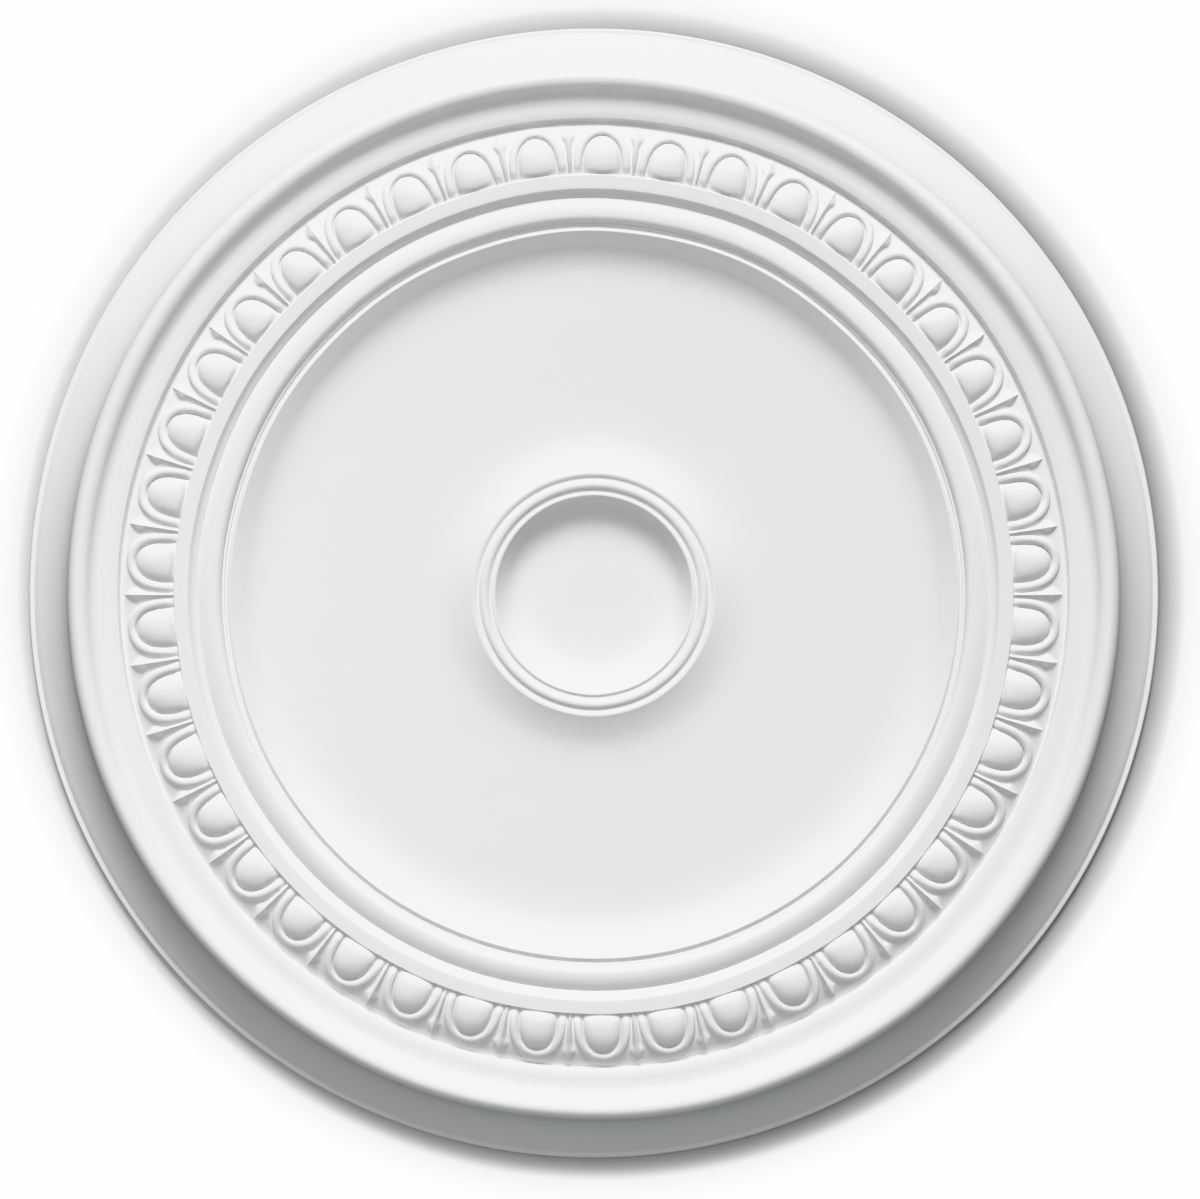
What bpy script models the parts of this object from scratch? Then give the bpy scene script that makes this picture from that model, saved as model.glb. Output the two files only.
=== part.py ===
"""A round ceiling rose with an egg-and-dart band, moulded whole in light foam.

Metres, +Z up. The origin is the centre of the flat back, which is fixed to the ceiling, and the moulded
face looks down. A radius is measured from the centre, and a drop is how far a face is below the ceiling.
"""

import math

import bmesh
import bpy
from mathutils import Matrix, Vector

# Outer edge, hollow cove and rim, each width measured inwards from the last
ROSE_RADIUS = 0.310
EDGE_DROP = 0.0045
LIP_WIDTH = 0.0040
LIP_SLOPE = 0.0015
COVE_WIDTH = 0.0216
COVE_DEPTH = 0.0210
COVE_TURN = -54.0
COVE_STEPS = 4
RIM_ROUND_WIDTH = 0.0055
RIM_ROUND_DEPTH = 0.0070
RIM_ROUND_TURN = 70.0
RIM_CREST_WIDTH = 0.0055
RIM_CREST_FALL = 0.0021
RIM_CREST_TURN = 42.0
RIM_HOLLOW_WIDTH = 0.0087
RIM_HOLLOW_FALL = 0.0050
RIM_HOLLOW_TURN = -56.0

# Fascia and the step down to the carved band
FASCIA_WIDTH = 0.0055
STEP_WIDTH = 0.0030
STEP_FALL = 0.0026

# Plate under the centre, and how far the centre reaches under the rim, so that the two are one solid
PLATE_DROP = 0.0050
RIM_OVERLAP = 0.0030

# Carved band: its ground is a quarter round that climbs to the wall of the flat band
BAND_WIDTH = 0.0272
BAND_RISE = 0.0050
BAND_TURN = 40.0
BAND_STEPS = 2
WALL_WIDTH = 0.0006
WALL_HEIGHT = 0.0030

# Flat band, small cove, torus and fillet
FLAT_WIDTH = 0.0090
SMALL_COVE_WIDTH = 0.0060
SMALL_COVE_FALL = 0.0040
SMALL_COVE_TURN = -40.0
TORUS_WIDTH = 0.0118
TORUS_TURN = 110.0
TORUS_STEPS = 4
FILLET_WIDTH = 0.0020
FIELD_LIP_WIDTH = 0.0014
FIELD_LIP_HEIGHT = 0.0010

# Dished field, centre ring and plain recess, each radius measured from the centre
FIELD_SINK = 0.0100
FIELD_LOW_SHARE = 0.60
FIELD_OUTER_POWER = 5.0
FIELD_OUTER_SHARES = (0.88, 0.70, 0.45, 0.0)
FIELD_INNER_POWER = 9.0
FIELD_INNER_SHARES = (0.74, 0.90, 1.0)
RING_RADIUS = 0.0640
RING_RISE = 0.0066
RING_WIDTH = 0.0066
RING_TURN = 120.0
RING_STEPS = 4
BEAD_WIDTH = 0.0030
BEAD_TURN = 130.0
RECESS_SINK = 0.0112
RECESS_POWER = 5.0
RECESS_SHARES = (0.86, 0.66, 0.0)
RECESS_FLAT_RADIUS = 0.0180

# Egg-and-dart, as shares of the pitch round the band's inner edge and of the band's width
EGG_COUNT = 42
EGG_WIDTH_SHARE = 0.57
EGG_LENGTH_SHARE = 0.75
EGG_MIDDLE_SHARE = 0.25
EGG_HEIGHT = 0.0037
EGG_END_HEIGHT_SHARE = 0.70
FRAME_BEAD_SHARE = 0.130
FRAME_GROOVE_SHARE = 0.018
FRAME_SINK_SHARE = 0.15
CARVING_END_DEPTH = 0.0020
CARVING_SINK = 0.0003
DART_LENGTH_SHARE = 0.94
DART_HEAD_SHARE = 0.72
DART_HEAD_WIDTH_SHARE = 0.20
DART_STEM_WIDTH_SHARE = 0.08
DART_HEIGHT_SHARE = 0.12

# How finely the rounds are cut into flats
RIM_TURN_STEPS = 2 * EGG_COUNT
SMALL_ROUND_STEPS = 2
EGG_SEGMENTS = 8
EGG_RINGS = 6
FRAME_ARC_STEPS = 6
TUBE_RESOLUTION = 0
KEPT_FACES = 0.79
MERGE_DISTANCE = 0.00005
SMOOTH_UP_TO = 24.0


def clear_scene():
    for item in list(bpy.data.objects):
        bpy.data.objects.remove(item, do_unlink=True)


def named_collection(name):
    collection = bpy.data.collections.new(name)
    bpy.context.scene.collection.children.link(collection)
    return collection


def foam_skin():
    material = bpy.data.materials.new("primed_foam")
    material.use_nodes = True
    shader = material.node_tree.nodes["Principled BSDF"]
    shader.inputs["Base Color"].default_value = (0.86, 0.86, 0.85, 1.0)
    shader.inputs["Roughness"].default_value = 0.62
    shader.inputs["Metallic"].default_value = 0.0
    return material


class Outline:
    """A turned outline of (radius, drop) points, drawn from the back's edge over the face to the axis."""

    def __init__(self, radius, drop):
        self.points = [Vector((radius, drop))]

    @property
    def end(self):
        return self.points[-1]

    def line(self, inwards, down):
        """A straight stretch, by how far it runs inwards and how much it gains in drop."""
        self.points.append(self.end + Vector((-inwards, down)))

    def arc(self, inwards, down, turn, steps):
        """A round stretch that turns by so many degrees, standing proud if positive and hollow if not."""
        start = self.end.copy()
        chord = Vector((-inwards, down))
        half_turn = math.radians(turn) / 2
        bend_radius = chord.length / (2 * math.sin(half_turn))
        proud = Vector((chord.y, -chord.x)).normalized()
        centre = start + chord / 2 - proud * bend_radius * math.cos(half_turn)
        for step in range(1, steps + 1):
            angle = 2 * half_turn * step / steps
            spoke = start - centre
            turned = Vector((
                spoke.x * math.cos(angle) - spoke.y * math.sin(angle),
                spoke.x * math.sin(angle) + spoke.y * math.cos(angle),
            ))
            self.points.append(centre + turned)

    def sweep(self, far_radius, near_radius, low_drop, high_drop, power, shares):
        """A dish, level at far_radius and steepest at near_radius, taken at shares of the way out."""
        for share in shares:
            radius = far_radius + (near_radius - far_radius) * share
            drop = low_drop + (high_drop - low_drop) * share ** power
            self.points.append(Vector((radius, drop)))


def rim_outline():
    """From the back round the edge, the cove, the rim and the fascia to the step, and back to the plate."""
    outline = Outline(0.0, 0.0)
    outline.line(-ROSE_RADIUS, 0.0)
    outline.line(0.0, EDGE_DROP)
    outline.line(LIP_WIDTH, LIP_SLOPE)
    outline.arc(COVE_WIDTH, COVE_DEPTH, COVE_TURN, COVE_STEPS)
    outline.arc(RIM_ROUND_WIDTH, RIM_ROUND_DEPTH, RIM_ROUND_TURN, SMALL_ROUND_STEPS)
    outline.arc(RIM_CREST_WIDTH, -RIM_CREST_FALL, RIM_CREST_TURN, SMALL_ROUND_STEPS)
    outline.arc(RIM_HOLLOW_WIDTH, -RIM_HOLLOW_FALL, RIM_HOLLOW_TURN, SMALL_ROUND_STEPS)
    outline.line(FASCIA_WIDTH, 0.0)
    outline.line(STEP_WIDTH, -STEP_FALL)
    foot = outline.end.copy()
    outline.points.append(Vector((foot.x, PLATE_DROP)))
    outline.points.append(Vector((0.0, PLATE_DROP)))
    return outline, foot


def centre_outline(foot):
    """From under the rim over the carved band, the rings, the field and the recess, with the band."""
    outline = Outline(0.0, PLATE_DROP / 2)
    outline.line(-foot.x - RIM_OVERLAP, 0.0)
    outline.points.append(Vector((foot.x + RIM_OVERLAP, foot.y)))
    outline.points.append(foot.copy())
    outline.arc(BAND_WIDTH, BAND_RISE, BAND_TURN, BAND_STEPS)
    ground = outline.points[-1 - BAND_STEPS:]
    outline.line(WALL_WIDTH, WALL_HEIGHT)
    outline.line(FLAT_WIDTH, 0.0)
    outline.arc(SMALL_COVE_WIDTH, -SMALL_COVE_FALL, SMALL_COVE_TURN, SMALL_ROUND_STEPS)
    outline.arc(TORUS_WIDTH, 0.0, TORUS_TURN, TORUS_STEPS)
    outline.line(FILLET_WIDTH, 0.0)
    outline.line(FIELD_LIP_WIDTH, FIELD_LIP_HEIGHT)
    edge = outline.end.copy()
    low_drop = edge.y - FIELD_SINK
    low_radius = RING_RADIUS + (edge.x - RING_RADIUS) * FIELD_LOW_SHARE
    outline.sweep(low_radius, edge.x, low_drop, edge.y, FIELD_OUTER_POWER, FIELD_OUTER_SHARES)
    ring_drop = low_drop + RING_RISE
    outline.sweep(low_radius, RING_RADIUS, low_drop, ring_drop, FIELD_INNER_POWER, FIELD_INNER_SHARES)
    outline.arc(RING_WIDTH, 0.0, RING_TURN, RING_STEPS)
    outline.arc(BEAD_WIDTH, 0.0, BEAD_TURN, SMALL_ROUND_STEPS)
    recess = outline.end.copy()
    recess_drop = recess.y - RECESS_SINK
    outline.sweep(RECESS_FLAT_RADIUS, recess.x, recess_drop, recess.y, RECESS_POWER, RECESS_SHARES)
    outline.points.append(Vector((0.0, recess_drop)))
    return outline, Band(ground)


def turned(name, outline, steps, collection):
    """The outline, which starts and ends on the vertical axis, turned about it."""
    corners = [Vector((point.x, 0.0, -point.y)) for point in outline.points]
    mesh = bpy.data.meshes.new(name)
    mesh.from_pydata(corners, [(at, at + 1) for at in range(len(corners) - 1)], [])
    solid = bpy.data.objects.new(name, mesh)
    collection.objects.link(solid)
    turning = solid.modifiers.new("turned", "SCREW")
    turning.axis = "Z"
    turning.angle = math.tau
    turning.steps = steps
    turning.render_steps = steps
    turning.use_merge_vertices = True
    turning.merge_threshold = MERGE_DISTANCE
    hide(solid)
    return solid


def hide(shape):
    """Keeps a shape that is only joined into another out of the picture."""
    shape.hide_render = True
    shape.display_type = "WIRE"


def evaluated_mesh(item):
    """The item's mesh, or its curve's, with all its modifiers worked in."""
    graph = bpy.context.evaluated_depsgraph_get()
    return bpy.data.meshes.new_from_object(item.evaluated_get(graph))


class Band:
    """The carved band's ground, given by its outline from the outer foot up to the inner head."""

    def __init__(self, outline_points):
        self.ground = outline_points
        self.foot_radius = outline_points[0].x
        self.head_radius = outline_points[-1].x
        self.width = self.foot_radius - self.head_radius
        self.pitch = math.tau * self.head_radius / EGG_COUNT
        self.flat_share = math.cos(math.pi / EGG_COUNT)

    def drop(self, radius):
        """The ground's drop at this radius, carried on level past the head."""
        for outer, inner in zip(self.ground, self.ground[1:]):
            if radius >= inner.x:
                return inner.y + (outer.y - inner.y) * (radius - inner.x) / (outer.x - inner.x)
        return self.ground[-1].y

    def on_flat(self, share, aside, raised):
        """A point over one of the ground's flats, this share of the way out and this far aside."""
        radius = self.head_radius + self.width * share
        return Vector((radius * self.flat_share, aside, -self.drop(radius) - raised))

    def on_corner(self, share, aside, raised):
        """A point over or beside the line where two flats meet."""
        radius = self.head_radius + self.width * share
        return Vector((radius, aside, -self.drop(radius) - raised))


def linked_mesh(name, sketch, collection):
    mesh = bpy.data.meshes.new(name)
    sketch.to_mesh(mesh)
    sketch.free()
    item = bpy.data.objects.new(name, mesh)
    collection.objects.link(item)
    return item


def egg(band, collection):
    """One egg, lying on the ground with its round end outwards, run back straight into the wall."""
    middle = band.on_flat(EGG_MIDDLE_SHARE, 0.0, -CARVING_SINK)
    tip = band.on_flat(EGG_LENGTH_SHARE, 0.0, -CARVING_SINK)
    end = band.on_flat(-CARVING_END_DEPTH / band.width, 0.0, -CARVING_SINK)
    along = (tip - middle).normalized()
    aside = Vector((0.0, 1.0, 0.0))
    turn = Matrix((aside, along.cross(aside), along)).transposed().to_4x4()
    half_width = band.pitch * EGG_WIDTH_SHARE / 2
    round_end = Matrix.Diagonal((half_width, EGG_HEIGHT, (tip - middle).length, 1.0))
    sketch = bmesh.new()
    bmesh.ops.create_uvsphere(
        sketch,
        u_segments=EGG_SEGMENTS,
        v_segments=EGG_RINGS,
        radius=1.0,
        matrix=Matrix.Translation(middle) @ turn @ round_end,
    )
    behind = [corner for corner in sketch.verts if (corner.co - middle).dot(along) < -MERGE_DISTANCE]
    bmesh.ops.delete(sketch, geom=behind, context="VERTS")
    open_edges = [edge for edge in sketch.edges if edge.is_boundary]
    run_back = bmesh.ops.extrude_edge_only(sketch, edges=open_edges)["geom"]
    for corner in run_back:
        if isinstance(corner, bmesh.types.BMVert):
            across = corner.co - middle
            height = across.dot(turn.col[1].xyz)
            corner.co = end + across - turn.col[1].xyz * height * (1.0 - EGG_END_HEIGHT_SHARE)
    last_edges = [edge for edge in run_back if isinstance(edge, bmesh.types.BMEdge) and edge.is_boundary]
    bmesh.ops.edgeloop_fill(sketch, edges=last_edges)
    bmesh.ops.recalc_face_normals(sketch, faces=sketch.faces)
    return linked_mesh("egg", sketch, collection)


def frame_bead(band, collection):
    """The round bead that runs up one side of an egg, over its tip and down the other."""
    bead_radius = band.pitch * FRAME_BEAD_SHARE / 2
    groove = band.pitch * FRAME_GROOVE_SHARE
    half_width = band.pitch * EGG_WIDTH_SHARE / 2 + groove + bead_radius
    reach = EGG_LENGTH_SHARE - EGG_MIDDLE_SHARE + (groove + bead_radius) / band.width
    sunk = -bead_radius * FRAME_SINK_SHARE
    end_share = -CARVING_END_DEPTH / band.width
    route = [band.on_flat(end_share, -half_width, sunk)]
    for step in range(FRAME_ARC_STEPS + 1):
        angle = math.pi * step / FRAME_ARC_STEPS
        share = EGG_MIDDLE_SHARE + reach * math.sin(angle)
        route.append(band.on_flat(share, -half_width * math.cos(angle), sunk))
    route.append(band.on_flat(end_share, half_width, sunk))
    curve = bpy.data.curves.new("frame_bead", "CURVE")
    curve.dimensions = "3D"
    curve.twist_mode = "Z_UP"
    curve.bevel_depth = bead_radius
    curve.bevel_resolution = TUBE_RESOLUTION
    curve.use_fill_caps = True
    spline = curve.splines.new("POLY")
    spline.points.add(len(route) - 1)
    for point, at in zip(spline.points, route):
        point.co = (at.x, at.y, at.z, 1.0)
    tube = bpy.data.objects.new("frame_bead_route", curve)
    collection.objects.link(tube)
    sketch = bmesh.new()
    sketch.from_mesh(evaluated_mesh(tube))
    bmesh.ops.remove_doubles(sketch, verts=sketch.verts, dist=MERGE_DISTANCE)
    bmesh.ops.recalc_face_normals(sketch, faces=sketch.faces)
    bpy.data.objects.remove(tube, do_unlink=True)
    return linked_mesh("frame_bead", sketch, collection)


def dart(band, collection):
    """A blade with a middle ridge: a thin stem that widens to a head and ends in a point."""
    stations = (
        (-CARVING_END_DEPTH / band.width, DART_STEM_WIDTH_SHARE),
        (DART_HEAD_SHARE, DART_HEAD_WIDTH_SHARE),
        (DART_LENGTH_SHARE, 0.0),
    )
    sketch = bmesh.new()
    loops = []
    for share, width_share in stations:
        half_width = band.pitch * width_share / 2
        height = band.pitch * DART_HEIGHT_SHARE * math.sqrt(width_share / DART_HEAD_WIDTH_SHARE)
        if width_share == 0.0:
            loops.append([sketch.verts.new(band.on_corner(share, 0.0, -CARVING_SINK))])
            continue
        loops.append([
            sketch.verts.new(band.on_corner(share, -half_width, -CARVING_SINK)),
            sketch.verts.new(band.on_corner(share, 0.0, height)),
            sketch.verts.new(band.on_corner(share, half_width, -CARVING_SINK)),
            sketch.verts.new(band.on_corner(share, 0.0, -height)),
        ])
    stem, head, tip = loops
    sketch.faces.new(stem)
    for at in range(4):
        after = (at + 1) % 4
        sketch.faces.new((stem[at], head[at], head[after], stem[after]))
        sketch.faces.new((head[at], tip[0], head[after]))
    bmesh.ops.recalc_face_normals(sketch, faces=sketch.faces)
    return linked_mesh("dart", sketch, collection)


def repeat_round(item, count, first_turn, collection):
    """Copies of the item all round the axis, each an object of its own on the same mesh."""
    for at in range(count):
        copy = bpy.data.objects.new(f"{item.name}_{at:02d}", item.data)
        copy.rotation_euler = (0.0, 0.0, first_turn + math.tau * at / count)
        hide(copy)
        collection.objects.link(copy)
    bpy.data.objects.remove(item, do_unlink=True)


def build():
    clear_scene()
    parts = named_collection("ceiling_rose")
    bodies = named_collection("bodies")
    joined = named_collection("joined_to_the_rim")
    rim_points, foot = rim_outline()
    rim = turned("rim", rim_points, RIM_TURN_STEPS, bodies)
    centre_points, band = centre_outline(foot)
    turned("centre", centre_points, EGG_COUNT, joined)
    half_pitch = math.pi / EGG_COUNT
    repeat_round(egg(band, joined), EGG_COUNT, half_pitch, joined)
    repeat_round(frame_bead(band, joined), EGG_COUNT, half_pitch, joined)
    repeat_round(dart(band, joined), EGG_COUNT, 0.0, joined)
    union = rim.modifiers.new("moulded_as_one", "BOOLEAN")
    union.operation = "UNION"
    union.solver = "EXACT"
    union.operand_type = "COLLECTION"
    union.collection = joined
    # The join leaves slivers where the carving meets its ground, and these go first.
    slivers = rim.modifiers.new("slivers_collapsed", "DECIMATE")
    slivers.decimate_type = "COLLAPSE"
    slivers.ratio = KEPT_FACES
    mesh = evaluated_mesh(rim)
    mesh.name = "ceiling_rose"
    mesh.shade_smooth()
    mesh.set_sharp_from_angle(angle=math.radians(SMOOTH_UP_TO))
    mesh.materials.clear()
    mesh.materials.append(foam_skin())
    parts.objects.link(bpy.data.objects.new("ceiling_rose", mesh))


build()
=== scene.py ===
import math

import bpy
import numpy as np
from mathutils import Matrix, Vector


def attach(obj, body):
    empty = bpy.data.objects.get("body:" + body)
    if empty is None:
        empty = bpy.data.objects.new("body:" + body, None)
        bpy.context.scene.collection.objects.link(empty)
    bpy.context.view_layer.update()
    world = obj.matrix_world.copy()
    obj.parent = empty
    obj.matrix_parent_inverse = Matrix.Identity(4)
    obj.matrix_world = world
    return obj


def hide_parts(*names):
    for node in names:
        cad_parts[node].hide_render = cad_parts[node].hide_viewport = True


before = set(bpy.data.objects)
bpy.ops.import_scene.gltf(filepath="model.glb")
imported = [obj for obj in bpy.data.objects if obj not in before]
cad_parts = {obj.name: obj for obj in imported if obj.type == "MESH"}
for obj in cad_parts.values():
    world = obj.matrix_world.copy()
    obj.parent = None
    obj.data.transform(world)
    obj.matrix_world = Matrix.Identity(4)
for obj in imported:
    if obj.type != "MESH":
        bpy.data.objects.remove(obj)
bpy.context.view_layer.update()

scene = bpy.context.scene

# The picture's bright parts roll off softly before they reach white, as on film.
scene.view_settings.view_transform = "Standard"
scene.view_settings.use_curve_mapping = True
film = scene.view_settings.curve_mapping
film.use_clip = False
tone_curve = film.curves[3]
tone_curve.points[1].location = (1.0, 0.905)
for shade, shown in ((0.40, 0.40), (0.80, 0.795), (1.25, 0.955), (1.7, 1.0)):
    tone_curve.points.new(shade, shown)
film.update()


# The rings. The rose is one casting of hard white foam, and its master was turned: a template with this
# outline swept about a centre pin. The outline is drawn here stroke by stroke and then spun, once for the
# back, the cove and the rim, and once for the rings, the dished field and the recess inside the carved band.
MM = 0.001
EGG_COUNT = 42
CROWN_STEPS = 6
TURN_STEPS = EGG_COUNT * CROWN_STEPS


def bowed(inwards, down, turn, steps):
    """The steps of a stroke that turns by so many degrees, standing proud if positive and hollow if not."""
    if not turn:
        return [(inwards / steps, down / steps)] * steps
    half = math.radians(turn) / 2
    slope = math.atan2(down, inwards)
    reach = math.hypot(inwards, down) / math.sin(half)
    moves = []
    for step in range(steps):
        heading = slope + half - half * (2 * step + 1) / steps
        length = reach * math.sin(half / steps)
        moves.append((length * math.cos(heading), length * math.sin(heading)))
    return moves


def dished(inwards, down, power, steps, outwards=False):
    """The steps of a hollow stroke that is steep at one end and eases off to level at the other."""
    shares = [math.sin(math.pi / 2 * step / steps) for step in range(steps + 1)]
    places = [(share, 1 - (1 - share) ** power) for share in shares]
    if outwards:
        places = [(1 - across, 1 - fallen) for across, fallen in reversed(places)]
    return [(inwards * (after[0] - before[0]), down * (after[1] - before[1]))
            for before, after in zip(places, places[1:])]


def spun_template(name, radius, drop, strokes):
    """Draws the strokes from one point, in millimetres, and spins them about the centre."""
    bpy.ops.object.select_all(action="DESELECT")
    bpy.ops.mesh.primitive_plane_add(size=MM, location=(radius * MM, 0.0, -drop * MM))
    rings = bpy.context.object
    rings.name = name
    bpy.ops.object.transform_apply(location=True, rotation=False, scale=False)
    bpy.ops.object.mode_set(mode="EDIT")
    bpy.ops.mesh.select_all(action="SELECT")
    bpy.ops.mesh.merge(type="CENTER")
    for stroke in strokes:
        for inwards, down in stroke:
            move = {"value": (-inwards * MM, 0.0, -down * MM)}
            bpy.ops.mesh.extrude_vertices_move(TRANSFORM_OT_translate=move)
    bpy.ops.mesh.select_all(action="SELECT")
    bpy.ops.mesh.spin(steps=TURN_STEPS, angle=math.tau, center=(0.0, 0.0, 0.0), axis=(0.0, 0.0, 1.0))
    bpy.ops.mesh.select_all(action="SELECT")
    bpy.ops.mesh.remove_doubles(threshold=0.02 * MM)
    bpy.ops.object.mode_set(mode="OBJECT")
    return rings


# The outer template runs from the middle of the back, round the thin flange edge and its lip, up the hollow
# cove, over the rim and down its inner hollow to the plain fascia and the step at the foot of the band.
back = [
    bowed(-150.0, 0.0, 0, 1),
    bowed(-159.3, 0.0, 0, 1),
]
flange = [
    bowed(-0.7, 0.7, 60, 3),
    bowed(0.0, 3.0, 0, 1),
    bowed(0.8, 0.8, 60, 3),
    bowed(2.2, -0.2, 0, 2),
    bowed(0.4, 0.3, 0, 1),
    bowed(0.6, 0.6, 0, 2),
]
outer_cove = [
    bowed(12.5, 9.2, -16, 6),
    bowed(8.3, 12.6, -26, 7),
]
rim_and_fascia = [
    bowed(5.2, 6.95, 72, 6),
    bowed(6.2, -2.35, 58, 6),
    bowed(5.6, -3.9, -54, 7),
    bowed(9.9, 0.0, 0, 2),
]
step_and_quirk = [
    bowed(0.4, -0.3, 40, 2),
    bowed(1.0, -3.6, 0, 2),
    bowed(0.5, -0.3, 0, 1),
    bowed(0.8, 0.8, 0, 1),
]
outer_rings = spun_template("ceiling_rose_skin", 0.0, 0.0,
                            back + flange + outer_cove + rim_and_fascia + step_and_quirk)
BAND_FOOT = (255.6, 24.3)

# The inner template runs from the flat band down its small cove, over the torus and its fillet, across the
# dished field to the ring and its bead, and down into the plain recess in the middle.
FLAT_RADIUS = 226.4
FLAT_DROP = 32.3
flat_band = [
    bowed(6.7, 0.0, 0, 3),
    bowed(0.6, -0.25, 40, 3),
]
small_cove = [
    bowed(4.0, -2.95, -38, 6),
    bowed(0.3, -0.4, 0, 1),
]
torus = [
    bowed(9.9, 2.8, 38, 7),
    bowed(3.6, -3.1, 72, 7),
    bowed(1.2, 0.0, 0, 1),
    bowed(0.5, -0.9, 0, 1),
    bowed(0.6, 0.0, 0, 1),
]
fillet = [
    bowed(1.6, 1.6, 0, 2),
    bowed(0.8, 0.0, 60, 3),
]
field = [
    dished(52.1, -10.0, 6.2, 11),
    dished(78.2, 6.6, 10.5, 11, outwards=True),
]
ring_and_bead = [
    bowed(0.4, 0.1, 30, 2),
    bowed(1.6, 0.0, 0, 1),
    bowed(0.6, -0.8, 0, 1),
    bowed(1.4, 0.0, 0, 1),
    bowed(5.3, 0.0, 122, 8),
    bowed(0.5, -0.2, 0, 1),
    bowed(1.1, 0.0, 0, 1),
    bowed(2.4, -0.1, 130, 6),
]
recess = [
    dished(35.1, -10.8, 7.4, 10),
    bowed(17.9, 0.0, 0, 2),
]
inner_rings = spun_template("inner_rings", FLAT_RADIUS, FLAT_DROP,
                            flat_band + small_cove + torus + fillet + field + ring_and_bead + recess)


# The carved band. One egg with its bead frame and half a dart on each side is modelled once on a grid whose
# lines follow the egg's own outline, and copied round. The carver laid each one out by eye, so they lean,
# swell and crowd a little differently. Lengths are in millimetres.
BAND_HEAD = (227.5, 29.6)
BAND_WIDTH = 28.1
BAND_TURN = 40.0
HALF_PITCH = math.pi / EGG_COUNT
EGG_HALF_WIDTH = 10.1
EGG_LENGTH = 20.9
EGG_HEIGHT = 3.9
EGG_SHOULDER = 0.6
EGG_CROWN = 0.42
EGG_FLATNESS = 2.3
EGG_BLUNTNESS = 0.57
GROOVE_WIDTH = 0.7
GROOVE_DEPTH = 0.35
BEAD_WIDTH = 4.7
BEAD_HEIGHT = 2.4
BEAD_BLUNTNESS = 0.78
DART_END = 0.96
DART_STEM = 1.2
DART_SWELL = 0.5
DART_FLARE = 2.1
DART_EDGE = 1.0
DART_RIDGE = 1.7
EGG_ROWS = 10
BEAD_ROWS = 8
GROUND_ROWS = 11
LEG_STEPS = 18
FOOT_CROWDING = 0.08
LEG_CROWDING = 0.85
GROUND_CROWDING = 1.35
ROWS = EGG_ROWS + 1 + BEAD_ROWS + GROUND_ROWS
STEPS = 2 * LEG_STEPS + CROWN_STEPS


def eased(value, low, high):
    """Rises from 0 at the low value to 1 at the high one, and leaves both level."""
    share = min(max((value - low) / (high - low), 0.0), 1.0)
    return share * share * (3 - 2 * share)


def ground_drop(out):
    """The drop of the band's ground, a slice of a round, this far out from the wall."""
    half = math.radians(BAND_TURN) / 2
    rise = BAND_HEAD[1] - BAND_FOOT[1]
    chord = math.hypot(BAND_WIDTH, rise)
    bend = chord / (2 * math.sin(half))
    lean = math.atan2(rise, BAND_WIDTH)
    along = (out - BAND_WIDTH / 2) / math.cos(lean)
    bulge = math.sqrt(bend ** 2 - along ** 2) - bend * math.cos(half)
    return BAND_HEAD[1] - rise * out / BAND_WIDTH + bulge * math.cos(lean)


def arch(turn, half_width, length):
    """A place on an egg-shaped arch: turn runs from 0 at one foot over the tip to 1 at the other."""
    angle = math.pi * (turn - FOOT_CROWDING * math.sin(math.tau * turn))
    return -math.cos(angle) * half_width, abs(math.sin(angle)) ** EGG_SHOULDER * length


def leg_out(step):
    """How far out the dart's middle line has come at this step up from the wall."""
    return BAND_WIDTH * math.sin(math.pi / 2 * step / LEG_STEPS) ** LEG_CROWDING


def border(turn):
    """A place on the outline of one egg's share of the band, by angle and distance out."""
    step = turn * STEPS
    if step <= LEG_STEPS:
        return -HALF_PITCH, leg_out(step)
    if step >= STEPS - LEG_STEPS:
        return HALF_PITCH, leg_out(STEPS - step)
    return HALF_PITCH * (2 * (step - LEG_STEPS) / CROWN_STEPS - 1), BAND_WIDTH


def dart_height(from_middle, out):
    """A blade with a middle ridge: a narrow stem, flared shoulders, and a point near the band's foot."""
    share = out / BAND_WIDTH
    if share >= DART_END:
        return 0.0
    half_width = DART_STEM + DART_SWELL * eased(share, 0.05, 0.6) + DART_FLARE * eased(share, 0.58, 0.74)
    half_width *= min(1.0, (DART_END - share) / 0.21)
    if from_middle >= half_width:
        return 0.0
    ridge = DART_RIDGE * min(1.0, (DART_END - share) / 0.12)
    return DART_EDGE * eased(half_width - from_middle, 0.0, 0.4) + ridge * (1 - from_middle / half_width)


def tucked(out, share, reach):
    """The share of its height that the carving loses this close to the wall, where it tucks in."""
    return share * (1 - eased(out, 0.0, reach))


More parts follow.
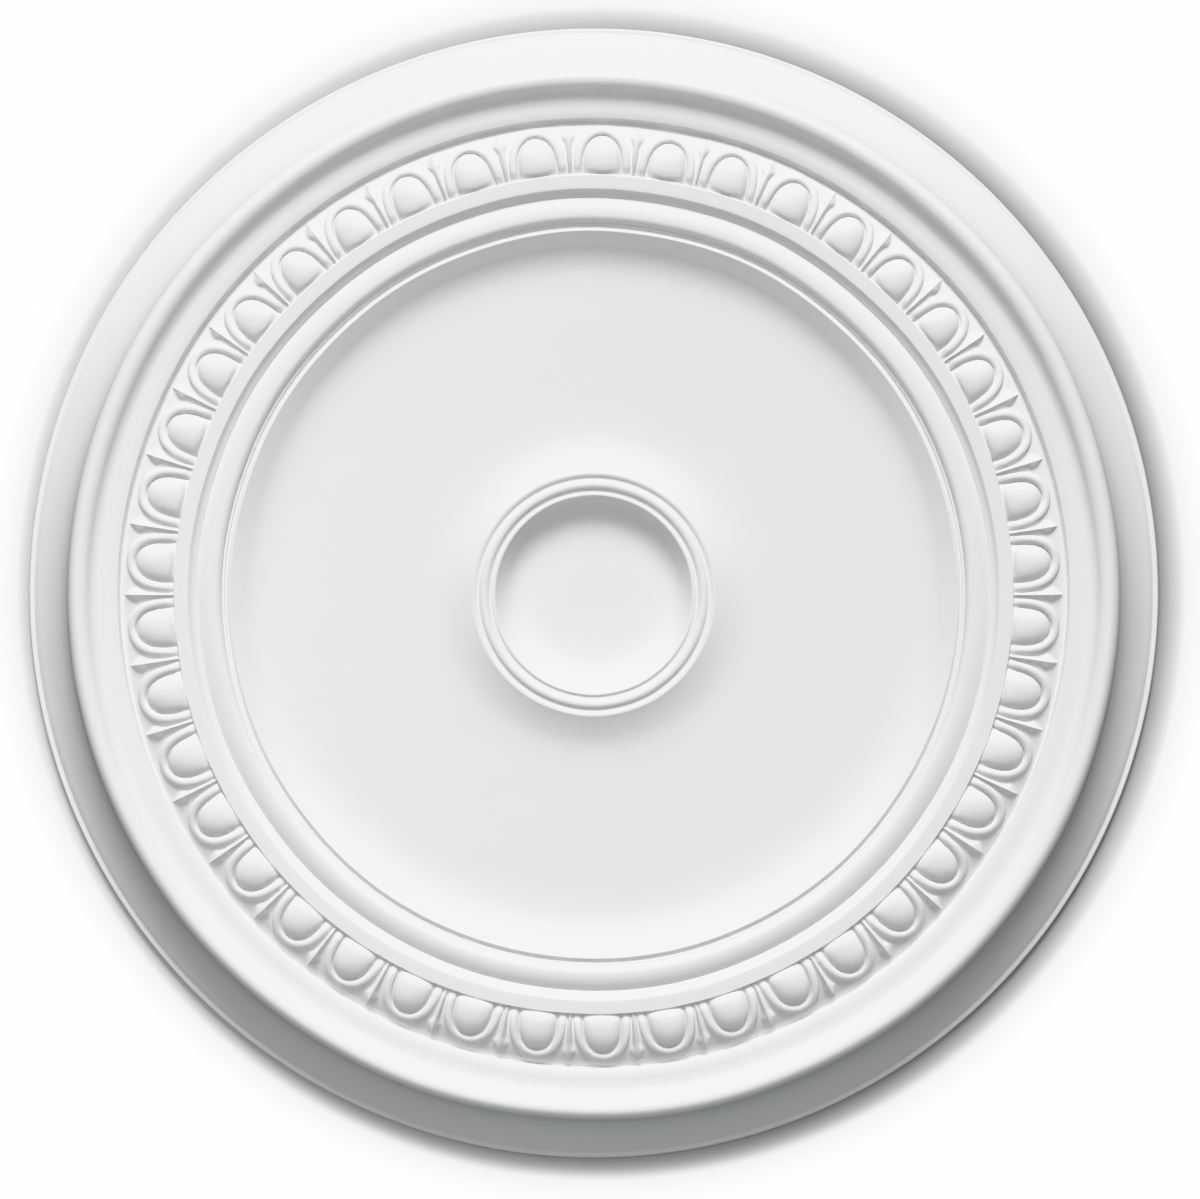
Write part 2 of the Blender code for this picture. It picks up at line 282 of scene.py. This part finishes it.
def unit_place(turn, row):
    """Where a grid corner lies on the unit: its angle, its radius and its drop."""
    if row <= EGG_ROWS:
        share = math.sin(math.pi / 2 * row / EGG_ROWS)
        length = EGG_LENGTH * (EGG_CROWN + (1 - EGG_CROWN) * share)
        aside, out = arch(turn, EGG_HALF_WIDTH * share, length)
        height = EGG_HEIGHT * max(0.0, 1 - share ** EGG_FLATNESS) ** EGG_BLUNTNESS
        lost = tucked(out, 0.34, 1.1)
    elif row == EGG_ROWS + 1:
        aside, out = arch(turn, EGG_HALF_WIDTH + GROOVE_WIDTH, EGG_LENGTH + GROOVE_WIDTH)
        height = -GROOVE_DEPTH
        lost = 0.0
    else:
        across = min((row - EGG_ROWS - 1) / BEAD_ROWS, 1.0)
        spread = GROOVE_WIDTH + BEAD_WIDTH * (1 - math.cos(math.pi * across)) / 2
        aside, out = arch(turn, EGG_HALF_WIDTH + spread, EGG_LENGTH + spread)
        height = BEAD_HEIGHT * math.sin(math.pi * across) ** BEAD_BLUNTNESS - GROOVE_DEPTH * (1 - across)
        lost = tucked(out, 0.55, 2.4)
    head = BAND_HEAD[0]
    angle = aside / (head + out)
    if row > EGG_ROWS + 1 + BEAD_ROWS:
        share = 1 - (1 - (row - EGG_ROWS - 1 - BEAD_ROWS) / GROUND_ROWS) ** GROUND_CROWDING
        edge_angle, edge_out = border(turn)
        angle += (edge_angle - angle) * share
        out += (edge_out - out) * share
        height = dart_height((HALF_PITCH - abs(angle)) * (head + out), out)
        lost = tucked(out, 0.3, 1.5)
    return angle, head + out, ground_drop(out) + height * (1 - tucked(out, 0.16, 5.5) - lost)


# The grid is laid out once for the unit, and then once for each egg with its own small faults, which fade
# out towards the unit's edges, so that neighbours still meet.
LEAN = 0.0020
SHIFT = 0.0008
LENGTHENING = 0.28
FULLNESS = 0.012
bpy.ops.object.select_all(action="DESELECT")
bpy.ops.mesh.primitive_grid_add(x_subdivisions=STEPS, y_subdivisions=ROWS, size=1.0)
egg_unit = bpy.context.object
egg_unit.name = "egg_unit"
corners = []
for corner in egg_unit.data.vertices:
    step, row = round((corner.co.x + 0.5) * STEPS), round((corner.co.y + 0.5) * ROWS)
    held = min(1.0, (ROWS - row) / GROUND_ROWS)
    corners.append((*unit_place(step / STEPS, row), held))
angles, radii, drops, held = np.array(corners).T
out = (radii - BAND_HEAD[0]) / EGG_LENGTH
rng = np.random.default_rng(7)
carved = [egg_unit]
while len(carved) < EGG_COUNT:
    copy = egg_unit.copy()
    copy.data = egg_unit.data.copy()
    scene.collection.objects.link(copy)
    carved.append(copy)
for at, unit in enumerate(carved):
    lean, longer, fuller, shift = rng.normal(0.0, 1.0, 4).clip(-1.8, 1.8)
    swung = angles + held * (out * lean * LEAN + np.minimum(out * 4, 1) * shift * SHIFT)
    reach = radii + held * out * longer * LENGTHENING
    fall = drops + held * np.maximum(drops - ground_drop(0.0) + 2.0, 0) * fuller * FULLNESS
    at_angle = swung + HALF_PITCH * (2 * at + 1)
    places = np.stack([reach * np.cos(at_angle), reach * np.sin(at_angle), -fall], axis=1) * MM
    unit.data.vertices.foreach_set("co", places.ravel())

# Band and rings are joined into one closed skin. The band's inner edge is carried up its little wall, whose
# last loop is set on the places of the flat band's edge and merged with it.
WALL_STEPS = ((0.25, 0.45), (0.25, 0.8), (0.3, 1.0), (0.3, 1.0))
CREASE = 55.0
bpy.ops.object.select_all(action="DESELECT")
for piece in [inner_rings, *carved, outer_rings]:
    piece.select_set(True)
bpy.context.view_layer.objects.active = outer_rings
bpy.ops.object.join()
rose = bpy.context.object
bpy.ops.object.mode_set(mode="EDIT")
bpy.ops.mesh.select_mode(type="EDGE")
bpy.ops.mesh.select_all(action="SELECT")
bpy.ops.mesh.remove_doubles(threshold=0.03 * MM)


def select_open_edges(nearest, farthest):
    """Leaves selected the open edges that lie between these distances from the centre, in millimetres."""
    bpy.ops.mesh.select_all(action="DESELECT")
    bpy.ops.mesh.select_non_manifold(extend=False, use_wire=False, use_boundary=True,
                                     use_multi_face=False, use_non_contiguous=False, use_verts=False)
    bpy.ops.object.mode_set(mode="OBJECT")
    spots = rose.data.vertices
    for edge in rose.data.edges:
        if edge.select:
            middle = (spots[edge.vertices[0]].co + spots[edge.vertices[1]].co) / 2
            edge.select = nearest * MM < middle.xy.length < farthest * MM
    kept = {at for edge in rose.data.edges if edge.select for at in edge.vertices}
    for spot in spots:
        spot.select = spot.index in kept
    bpy.ops.object.mode_set(mode="EDIT")


select_open_edges(BAND_HEAD[0] - 0.5, BAND_HEAD[0] + 0.5)
radius = BAND_HEAD[0]
for inwards, share in WALL_STEPS:
    bpy.ops.mesh.extrude_region_move(TRANSFORM_OT_translate={"value": (0.0, 0.0, 0.0)})
    shrink = (radius - inwards) / radius
    radius -= inwards
    bpy.ops.transform.resize(value=(shrink, shrink, 1.0), center_override=(0.0, 0.0, 0.0))
    bpy.ops.object.mode_set(mode="OBJECT")
    for corner in rose.data.vertices:
        if corner.select:
            corner.co.z += (-FLAT_DROP * MM - corner.co.z) * share
    bpy.ops.object.mode_set(mode="EDIT")
bpy.ops.object.mode_set(mode="OBJECT")
for corner in rose.data.vertices:
    if corner.select:
        at = round(math.atan2(corner.co.y, corner.co.x) / math.tau * TURN_STEPS) / TURN_STEPS * math.tau
        corner.co = Vector((radius * math.cos(at), radius * math.sin(at), -FLAT_DROP)) * MM
bpy.ops.object.mode_set(mode="EDIT")
bpy.ops.mesh.select_all(action="SELECT")
bpy.ops.mesh.remove_doubles(threshold=0.02 * MM)
bpy.ops.mesh.normals_make_consistent(inside=False)
bpy.ops.object.mode_set(mode="OBJECT")
rose.data.polygons.foreach_set("use_smooth", [True] * len(rose.data.polygons))
rose.data.set_sharp_from_angle(angle=math.radians(CREASE))

# The master was cut by hand, so the eggs drift a little round the band, and no ring runs quite true. The
# waver fades out towards the centre and at the flange edge, and leaves the flat back as it is.
BAND_DRIFT = 1.1
WAVER = 0.075
WAVER_TWIST = 14.0
WAVER_REACH = 0.2
TRUE_EDGE = 0.3085
spots = np.empty(3 * len(rose.data.vertices))
rose.data.vertices.foreach_get("co", spots)
spots = spots.reshape(-1, 3)
angle, reach = np.arctan2(spots[:, 1], spots[:, 0]), np.hypot(spots[:, 0], spots[:, 1])
angle += math.radians(BAND_DRIFT) * np.sin(angle)
wander = np.zeros(len(spots))
for waves in range(3, 15):
    phase, size, twist = rng.uniform(0, math.tau), rng.normal(0, WAVER), rng.normal(0, WAVER_TWIST)
    wander += size * MM * np.sin(waves * angle + phase + twist * reach)
wander *= np.clip((TRUE_EDGE - reach) / 0.012, 0.0, 1.0)
wander *= np.clip(reach / WAVER_REACH, 0.0, 1.0) ** 1.5
reach += wander * (spots[:, 2] < 0)
spots[:, 0], spots[:, 1] = reach * np.cos(angle), reach * np.sin(angle)
rose.data.vertices.foreach_set("co", spots.ravel())
rose.data.update()


# The skin. Foam roses come out of the mould dead matt and are sprayed with a thin white primer, which leaves
# a faint orange peel, slow swells from the mould and a slightly uneven tone.
class Value:
    """A number in a node tree that can be reckoned with like any other number."""

    def __init__(self, tree, socket):
        self.tree = tree
        self.socket = socket

    def maths(self, operation, other):
        node = self.tree.nodes.new("ShaderNodeMath")
        node.operation = operation
        self.tree.links.new(self.socket, node.inputs[0])
        if isinstance(other, Value):
            self.tree.links.new(other.socket, node.inputs[1])
        else:
            node.inputs[1].default_value = other
        return Value(self.tree, node.outputs["Value"])

    def __add__(self, other):
        return self.maths("ADD", other)

    def __mul__(self, other):
        return self.maths("MULTIPLY", other)

    __radd__ = __add__
    __rmul__ = __mul__


class Finish:
    """A material, with its shader and one way to add any other node."""

    def __init__(self, name):
        self.material = bpy.data.materials.new(name)
        self.material.use_nodes = True
        self.tree = self.material.node_tree
        self.shader = self.tree.nodes["Principled BSDF"]

    def node(self, kind, output, sockets, **settings):
        """Adds a node, sets it up, feeds its sockets by name or place, and returns one of its outputs."""
        node = self.tree.nodes.new(kind)
        for name, setting in settings.items():
            setattr(node, name, setting)
        for name, term in sockets.items():
            self.feed(node.inputs[name], term)
        return Value(self.tree, node.outputs[output])

    def feed(self, socket, term):
        if isinstance(term, Value):
            self.tree.links.new(term.socket, socket)
        else:
            socket.default_value = term


PRIMER_THIN = (0.775, 0.776, 0.770, 1.0)
PRIMER_THICK = (0.805, 0.805, 0.801, 1.0)
SWELL_HEIGHT = 0.00035
PEEL_HEIGHT = 0.00003
foam = Finish("primed_foam")
place = foam.node("ShaderNodeTexCoord", "Object", {})
swells = foam.node("ShaderNodeTexNoise", "Fac",
                   {"Vector": place, "Scale": 42.0, "Detail": 2.0, "Roughness": 0.45})
peel = foam.node("ShaderNodeTexNoise", "Fac",
                 {"Vector": place, "Scale": 1100.0, "Detail": 3.0, "Roughness": 0.55})
clouds = foam.node("ShaderNodeTexNoise", "Fac",
                   {"Vector": place, "Scale": 9.0, "Detail": 4.0, "Roughness": 0.55})
tone = foam.node("ShaderNodeMix", 2, {0: clouds, 6: PRIMER_THIN, 7: PRIMER_THICK}, data_type="RGBA")
relief = foam.node("ShaderNodeBump", "Normal",
                   {"Height": SWELL_HEIGHT * swells + PEEL_HEIGHT * peel, "Strength": 0.6, "Distance": 1.0})
foam.feed(foam.shader.inputs["Base Color"], tone)
foam.feed(foam.shader.inputs["Roughness"], 0.56 + 0.12 * clouds)
foam.feed(foam.shader.inputs["Normal"], relief)
rose.data.materials.clear()
rose.data.materials.append(foam.material)
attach(rose, "root")
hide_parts("ceiling_rose")


# The ceiling the rose is fixed to: a plain white sheet just under the back, seen from below only. Close to
# the rose a shadow is painted on it: its colour greys and its glow fades out. It keeps its own brightness
# and throws no light on the rose.
PAINTED_SHADOW_CENTRE = (-0.0038, -0.0010, 0.0)
bpy.ops.object.select_all(action="DESELECT")
bpy.ops.mesh.primitive_plane_add(size=3.2, location=(0.0, 0.0, -0.0005), rotation=(math.pi, 0.0, 0.0))
ceiling = bpy.context.object
ceiling.name = "ceiling"
paint = Finish("ceiling_white_painted_shadow")
spot = paint.node("ShaderNodeTexCoord", "Object", {})
# Painted shadow: the sheet's colour and its glow both fall off close to the rose. The distance is measured
# from a centre set a few millimetres towards -X, so the painted shadow is heaviest on that side.
away = paint.node("ShaderNodeVectorMath", "Value", {0: spot, 1: PAINTED_SHADOW_CENTRE}, operation="DISTANCE")
glow_beyond_painted_shadow = paint.node("ShaderNodeMapRange", "Result", {"Value": away, "From Min": 0.3104, "From Max": 0.3424},
                  interpolation_type="SMOOTHERSTEP")
painted_shadow_grey = paint.node("ShaderNodeMapRange", "Result",
                  {"Value": away, "From Min": 0.301, "From Max": 0.316, "To Min": 0.17, "To Max": 0.58},
                  interpolation_type="SMOOTHSTEP")
paint.feed(paint.shader.inputs["Emission Color"], glow_beyond_painted_shadow)
paint.feed(paint.shader.inputs["Base Color"], painted_shadow_grey)
paint.shader.inputs["Emission Strength"].default_value = 1.7
paint.shader.inputs["Roughness"].default_value = 0.9
paint.shader.inputs["Specular IOR Level"].default_value = 0.0
from_above = paint.node("ShaderNodeNewGeometry", "Backfacing", {})
painted = Value(paint.tree, paint.shader.outputs["BSDF"])
clear = paint.node("ShaderNodeBsdfTransparent", "BSDF", {})
sheet = paint.node("ShaderNodeMixShader", "Shader", {0: from_above, 1: painted, 2: clear})
paint.feed(paint.tree.nodes["Material Output"].inputs["Surface"], sheet)
ceiling.data.materials.append(paint.material)
ceiling.visible_diffuse = False
ceiling.visible_glossy = False

# The floor far below it, pale and plain, which takes no part in the light.
bpy.ops.mesh.primitive_plane_add(size=400.0, location=(0.0, 0.0, -2.7))
floor = bpy.context.object
floor.name = "floor"
boards = Finish("floor_pale")
boards.shader.inputs["Base Color"].default_value = (0.8, 0.8, 0.8, 1.0)
boards.shader.inputs["Roughness"].default_value = 0.9
floor.data.materials.append(boards.material)
floor.visible_shadow = False
floor.visible_diffuse = False
floor.visible_glossy = False


# Studio light. A broad key comes in low from the top of the picture, with weak fills from the sides, from
# below and from the camera, and the room is dim, apart from some light from above for the back.
ROOM_LIGHT = 0.05
ROOM_PALENESS = 0.6


def softbox(name, tilt, bearing, spread, strength):
    """A broad distant light, tilted from straight below towards this bearing from the picture's top."""
    lamp = bpy.data.lights.new(name, "SUN")
    lamp.angle = math.radians(spread)
    lamp.energy = strength
    item = bpy.data.objects.new(name, lamp)
    scene.collection.objects.link(item)
    lean, turn = math.radians(tilt), math.radians(bearing)
    aim = Vector((math.sin(lean) * math.sin(turn), math.sin(lean) * math.cos(turn), -math.cos(lean)))
    item.rotation_euler = aim.to_track_quat("Z", "Y").to_euler()
    return lamp


softbox("key", 58, 0, 25, 3.35)
softbox("key_left", 50, 40, 30, 0.09)
softbox("key_right", 50, -40, 30, 0.19)
softbox("fill_low", 88, 180, 24, 0.66).color = (0.86, 1.0, 0.96)
softbox("fill_far", 0, 0, 40, 0.37)
softbox("back", 155, 20, 50, 2.7)
lamp = bpy.data.lights.new("fill_camera", "AREA")
lamp.shape = "DISK"
lamp.size = 0.5
lamp.energy = 2.6
fill_camera = bpy.data.objects.new("fill_camera", lamp)
scene.collection.objects.link(fill_camera)
fill_camera.location = (0.2, 0.0, -1.1)
fill_camera.rotation_euler = (math.pi, 0.0, 0.0)
fill_camera.visible_camera = False
room = bpy.data.worlds.new("room")
scene.world = room
room.use_nodes = True
seen = room.node_tree.nodes.new("ShaderNodeLightPath")
air = ROOM_LIGHT + ROOM_PALENESS * Value(room.node_tree, seen.outputs["Is Camera Ray"])
room.node_tree.links.new(air.socket, room.node_tree.nodes["Background"].inputs["Strength"])
room.node_tree.nodes["Background"].inputs["Color"].default_value = (1.0, 1.0, 1.0, 1.0)

# The camera looks straight up at the ceiling from below, a little off the middle, with its lens shifted
# back, and the rose sits a little left of and above the middle of the frame.
DISTANCE = 1.834
OFF_MIDDLE = 0.058
PIXEL = 0.55024 * MM
lens = bpy.data.cameras.new("camera")
lens.lens = 100.0
lens.sensor_width = 36.0
lens.shift_y = -OFF_MIDDLE / (DISTANCE * lens.sensor_width / lens.lens)
camera = bpy.data.objects.new("camera", lens)
scene.collection.objects.link(camera)
camera.location = (-6.2 * PIXEL, OFF_MIDDLE - 6.5 * PIXEL, -DISTANCE)
camera.rotation_euler = (math.pi, 0.0, math.pi)
scene.camera = camera
